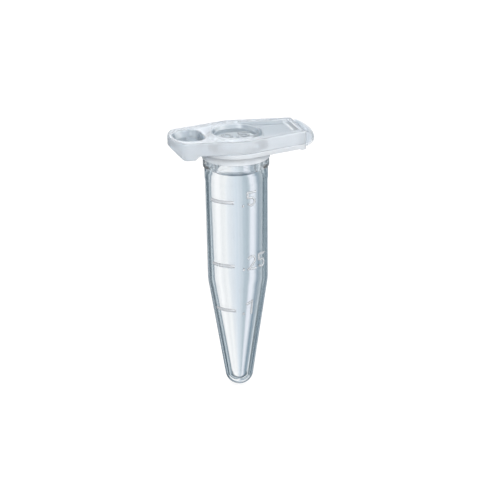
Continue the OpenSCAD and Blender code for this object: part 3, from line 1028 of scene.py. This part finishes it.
# %% [markdown]
# ## Hinge strap
# The hinge is a thin strap, bent into half a ring, with a bead along each fold where it turns. It is one
# cross-section pulled across the tube, so its rings follow each other across too: each ring is the strap's
# outline, drawn from its middle line and its half thickness, and the outer rings are drawn slightly
# thinner, which rounds the strap's two side edges. Towards its sides the bend is drawn in a little.

# %% Make the strap
STRAP_EDGE = 0.1
STRAP_DRAW_IN = 0.3
LEAST_HALF_T = 0.01
RUN_MIDDLE = 0.4
RUN_SPAN = 0.8
BEAD_STEPS = 6
BEND_STEPS = 36
STRAP_ROWS = 16
strap_half_w = strap_high.y
strap_r = (fold_high_z - fold_low_z) / 2
strap_t = 0.34
strap_run = strap_high.x - fold_x - strap_r - strap_t / 2
fold_r = 0.2


def strap_stations(y):
    """Places along the strap's middle line with the direction across it and the half thickness there."""
    run = strap_run - STRAP_DRAW_IN * (y / strap_half_w) ** 2
    half = []
    for step in range(1, BEAD_STEPS + 1):
        back = fold_r * math.cos(step / BEAD_STEPS * math.pi / 2)
        half.append(((fold_x - back, strap_r), (0.0, 1.0), math.sqrt(fold_r ** 2 - back ** 2)))
    bend = []
    for step in range(1, BEND_STEPS):
        angle = math.pi / 2 - step / BEND_STEPS * math.pi
        across = (math.cos(angle), math.sin(angle))
        along = strap_r * min(step, BEND_STEPS - step) / BEND_STEPS * math.pi
        bead = math.sqrt(max(fold_r ** 2 - along ** 2, 0.0))
        x = fold_x + run * eased(across[0] - RUN_MIDDLE, RUN_SPAN) + strap_r * across[0]
        bend.append(((x, strap_r * across[1]), across, max(strap_t / 2, bead)))
    mirrored = [((x, -z), (0.0, -1.0), t) for (x, z), _, t in reversed(half)]
    return half + bend + mirrored


def strap_ring(y, inset):
    """The strap's outline at a place across it, thinner by an inset on both faces."""
    outer = []
    inner = []
    for (x, z), (across_x, across_z), thick in strap_stations(y):
        t = max(thick - inset, LEAST_HALF_T)
        outer.append((x + across_x * t, y, fold_mid_z + z + across_z * t))
        inner.append((x - across_x * t, y, fold_mid_z + z - across_z * t))
    return outer + inner[::-1]


edge_rows = []
for angle in quarter_turn:
    y = strap_half_w - STRAP_EDGE * (1.0 - math.cos(angle))
    edge_rows.append((y, STRAP_EDGE * (1.0 - math.sin(angle))))
inner_w = strap_half_w - STRAP_EDGE
middle_rows = [(inner_w * (2 * step / STRAP_ROWS - 1.0), 0.0) for step in range(1, STRAP_ROWS)]
strap_rows = [(-y, inset) for y, inset in edge_rows] + middle_rows + edge_rows[::-1]
loop = [strap_ring(y, inset) for y, inset in strap_rows]
count = len(loop[0])
side_faces = []
for start in (0, (len(loop) - 1) * count):
    end = start + count - 1
    side_faces += [(start + i, start + i + 1, end - i - 1, end - i) for i in range(count // 2 - 1)]
hinge_loop = add_piece("hinge_loop", sewn("hinge_loop", loop, side_faces), strap_plastic)
print(f"strap: {len(loop)} rows of {count} points")

# %% [markdown]
# ## Raised lines and numerals
# The graduations are ridges on the wall: a short line for each volume with its number beside it. A number is
# drawn as strokes along a middle line, and a Geometry Nodes tree sweeps a round section along each stroke,
# flattens it to the height of a moulded ridge, and wraps it round the wall, where half of it sinks in.

# %% Strokes of the numerals, in millimetres
digit_h = 1.95
digit_w = 1.25
stroke_w = 0.3
digit_gap = 0.3
BOWL_STEPS = 14
POINT_FOOT = 0.02
FLAG_SHARE = 0.72
TWO_FOOT_X = 0.24


def arc_path(centre_x, centre_y, r, start, stop):
    """Points of a circle's arc from a start angle to a stop angle, in degrees."""
    angles = [math.radians(start + step * (stop - start) / BOWL_STEPS) for step in range(BOWL_STEPS + 1)]
    return [(centre_x + r * math.cos(a), centre_y + r * math.sin(a)) for a in angles]


def numeral_strokes():
    """Middle lines of each numeral's strokes, with its left foot at the origin."""
    half = stroke_w / 2
    top = digit_h - half
    mid = digit_w / 2
    bowl = mid - half
    ring = arc_path(mid, digit_h - mid, bowl, 0.0, 180.0) + arc_path(mid, mid, bowl, 180.0, 360.0)
    return {
        ".": [[(half, POINT_FOOT), (half, stroke_w)]],
        "0": [ring + ring[:1]],
        "1": [[(mid + half, 0.0), (mid + half, digit_h)], [(0.0, FLAG_SHARE * digit_h), (mid + half, top)]],
        "2": [
            arc_path(mid, digit_h - mid, bowl, 165.0, -35.0) + [(TWO_FOOT_X, half)],
            [(0.0, half), (digit_w, half)],
        ],
        "5": [[(digit_w, top), (half, top), (half, mid + bowl)] + arc_path(mid, mid, bowl, 90.0, -150.0)],
    }


STROKES = numeral_strokes()


def laid_out(text):
    """(numeral, middle of its width, width) for each numeral of a text that starts at 0."""
    start = 0.0
    for name in text:
        width = stroke_w if name == "." else digit_w
        yield name, start + width / 2, width
        start += width + digit_gap


print("numerals drawn:", " ".join(STROKES))

# %% Tree that sweeps a stroke and wraps it on the wall
SECTION_POINTS = 14
STROKE_STEP = 0.08
mark_relief = 0.13
barrel_slope = barrel_draft / barrel_h
cone_slope = math.tan(tangent_angle(barrel_end_r, barrel_z - tip_centre_z, tip_r))

ridges, ridge_in, ridge_out = new_group(
    "Raised strokes",
    "GeometryNodeTree",
    (
        ("Strokes", "NodeSocketGeometry", None),
        ("Step", "NodeSocketFloat", STROKE_STEP * MM),
        ("Relief", "NodeSocketFloat", mark_relief * MM),
        ("Wrap", "NodeSocketFloat", 1.0),
        ("Barrel top radius", "NodeSocketFloat", barrel_top_r * MM),
        ("Barrel top height", "NodeSocketFloat", land_z * MM),
        ("Barrel slope", "NodeSocketFloat", barrel_slope),
        ("Cone top radius", "NodeSocketFloat", barrel_end_r * MM),
        ("Cone top height", "NodeSocketFloat", barrel_z * MM),
        ("Cone slope", "NodeSocketFloat", cone_slope),
        ("Plastic", "NodeSocketMaterial", None),
    ),
    (("Ridges", "NodeSocketGeometry"),),
)


def stored(tree, name):
    """Number that each point carries under a name."""
    return add_node(tree, "GeometryNodeInputNamedAttribute", {"Name": name}, data_type="FLOAT").outputs[0]


lines = add_node(ridges, "GeometryNodeMeshToCurve", {"Mesh": ridge_in["Strokes"]}).outputs[0]
even = add_node(ridges, "GeometryNodeResampleCurve", {
    "Curve": lines, "Length": ridge_in["Step"],
}, mode="LENGTH")
section = add_node(ridges, "GeometryNodeCurvePrimitiveCircle", {"Resolution": SECTION_POINTS, "Radius": 1.0})
swept = add_node(ridges, "GeometryNodeCurveToMesh", {
    "Curve": even.outputs[0], "Profile Curve": section.outputs[0],
    "Scale": stored(ridges, "half_width"), "Fill Caps": True,
}).outputs[0]
flat = add_node(ridges, "ShaderNodeSeparateXYZ", {
    0: add_node(ridges, "GeometryNodeInputPosition").outputs[0],
}).outputs
share_up = calc(ridges, "DIVIDE", flat["Z"], stored(ridges, "half_width"))
height = calc(ridges, "MULTIPLY", share_up, ridge_in["Relief"])
up = flat["Y"]
on_barrel = calc(ridges, "SUBTRACT", up, ridge_in["Barrel top height"])
barrel = calc(ridges, "MULTIPLY_ADD", on_barrel, ridge_in["Barrel slope"], ridge_in["Barrel top radius"])
on_cone = calc(ridges, "SUBTRACT", up, ridge_in["Cone top height"])
cone = calc(ridges, "MULTIPLY_ADD", on_cone, ridge_in["Cone slope"], ridge_in["Cone top radius"])
wall_r = calc(ridges, "MINIMUM", barrel, cone)
angle_on_wall = calc(ridges, "ADD", stored(ridges, "turn"), calc(ridges, "DIVIDE", flat["X"], wall_r))
ridge_r = calc(ridges, "ADD", wall_r, height)
wrapped = add_node(ridges, "ShaderNodeCombineXYZ", {
    0: calc(ridges, "MULTIPLY", ridge_r, calc(ridges, "COSINE", angle_on_wall)),
    1: calc(ridges, "MULTIPLY", ridge_r, calc(ridges, "SINE", angle_on_wall)),
    2: up,
}).outputs[0]
unwrapped = add_node(ridges, "ShaderNodeCombineXYZ", {0: flat["X"], 1: flat["Y"], 2: height}).outputs[0]
chosen = add_node(ridges, "ShaderNodeMix", {
    0: ridge_in["Wrap"], 4: unwrapped, 5: wrapped,
}, data_type="VECTOR").outputs[1]
on_wall = add_node(ridges, "GeometryNodeSetPosition", {"Geometry": swept, "Position": chosen})
end_tree(ridges, on_wall.outputs[0], ridge_in["Plastic"], ridge_out["Ridges"])
print(f"tree {ridges.name}: {len(ridges.nodes)} nodes")

# %% Lines and numerals on the tube
LINE_START = math.radians(199.0)
LINE_ANGLE = math.radians(51.0)
DIGIT_START = math.radians(263.0)
# Node, depth of its line below the flange, and its number
MARKS = (("mark_half", 5.75, ".5"), ("mark_quarter", 14.05, ".25"), ("mark_tenth", 20.1, ".1"))
line_h = 0.45
line_trim = line_h / 4
digit_drop = 0.6


class Drawing:
    """Strokes collected as points, edges and two numbers for each point."""

    def __init__(self):
        self.points = []
        self.edges = []
        self.half_widths = []
        self.turns = []

    def add(self, path, half_width, turn):
        """Add one stroke; a path that ends where it starts is closed."""
        start = len(self.points)
        closed_path = len(path) > 2 and path[0] == path[-1]
        kept = path[:-1] if closed_path else path
        self.points += [(x * MM, y * MM, 0.0) for x, y in kept]
        self.edges += [(start + i, start + i + 1) for i in range(len(kept) - 1)]
        if closed_path:
            self.edges.append((start + len(kept) - 1, start))
        self.half_widths += [half_width * MM] * len(kept)
        self.turns += [turn] * len(kept)

    def run(self, name, sizes):
        """Piece that the tree makes of all strokes."""
        labels = (("half_width", self.half_widths), ("turn", self.turns))
        return run_tree(name, ridges, self.points, self.edges, sizes, labels)


def wall_radius(z):
    """Outside radius of the barrel or the cone at a height."""
    return min(barrel_top_r + (z - land_z) * barrel_slope, barrel_end_r + (z - barrel_z) * cone_slope)


mark_pieces = {}
for name, depth, text in MARKS:
    drawing = Drawing()
    half_len = LINE_ANGLE / 2 * wall_radius(-depth) - line_trim
    drawing.add([(-half_len, -depth), (half_len, -depth)], line_h / 2, LINE_START + LINE_ANGLE / 2)
    for digit, middle, width in laid_out(text):
        for path in STROKES[digit]:
            shifted = [(x - width / 2, y - depth - digit_drop) for x, y in path]
            drawing.add(shifted, stroke_w / 2, DIGIT_START + middle / barrel_top_r)
    mark_pieces[name] = drawing.run(name + "_relief", {"Plastic": relief_plastic})
print("marks:", ", ".join(piece.name for piece in mark_pieces.values()))

# %% Numerals on the lid
LID_DIGITS = "0.5"
lid_digit_relief = 0.12
lid_drawing = Drawing()
lid_row = list(laid_out(LID_DIGITS))
row_w = lid_row[-1][1] + lid_row[-1][2] / 2
for digit, middle, width in lid_row:
    for path in STROKES[digit]:
        centred = [(x - width / 2 + middle - row_w / 2, y - digit_h / 2) for x, y in path]
        lid_drawing.add(centred, stroke_w / 2, 0.0)
lid_sizes = {"Relief": lid_digit_relief * MM, "Wrap": 0.0, "Plastic": numeral_plastic}
lid_digits = lid_drawing.run("lid_digits", lid_sizes)
for vertex in lid_digits.data.vertices:
    vertex.co.z += plate_top_z * MM
print(f"lid numerals {row_w:.2f} mm wide")

# %% [markdown]
# ## Riding on the frame
# Each piece now says which CAD body carries it and which solids it stands for. The tube's pieces ride on the
# tube's body, the strap on the strap's, and everything on the lid on the lid's.

# %% Attach the pieces to the bodies
def attach(piece, body, plastic_slot, *nodes):
    """Let a piece ride on a body and stand for CAD nodes. The plastic slot is not used."""
    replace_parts(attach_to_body(piece, body), *nodes)


LID_NODES = ("lid_plate", "lid_border", "lid_bar", "thumb_tab", "sealing_plug")
attach(tube_shell, "tube", "tube_plastic", "tube_wall", "rim_flange", "tongue_bar")
for name, piece in mark_pieces.items():
    attach(piece, "tube", "tube_plastic", name)
attach(hinge_loop, "strap", "lid_plastic", "hinge_strap")
attach(lid_shell, "lid", "lid_plastic", *LID_NODES)
attach(lid_digits, "lid", "lid_plastic", "lid_numerals")

# %% [markdown]
# ## Size
# The picture must not change the part's size, so the box of the CAD model and the box of what is shown are
# printed side by side.

# %% Print the two boxes side by side
visual_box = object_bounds()
for label, (low, high) in (("CAD", cad_box), ("visual", visual_box)):
    print(label, [round((b - a) / MM, 2) for a, b in zip(low, high)], "mm")
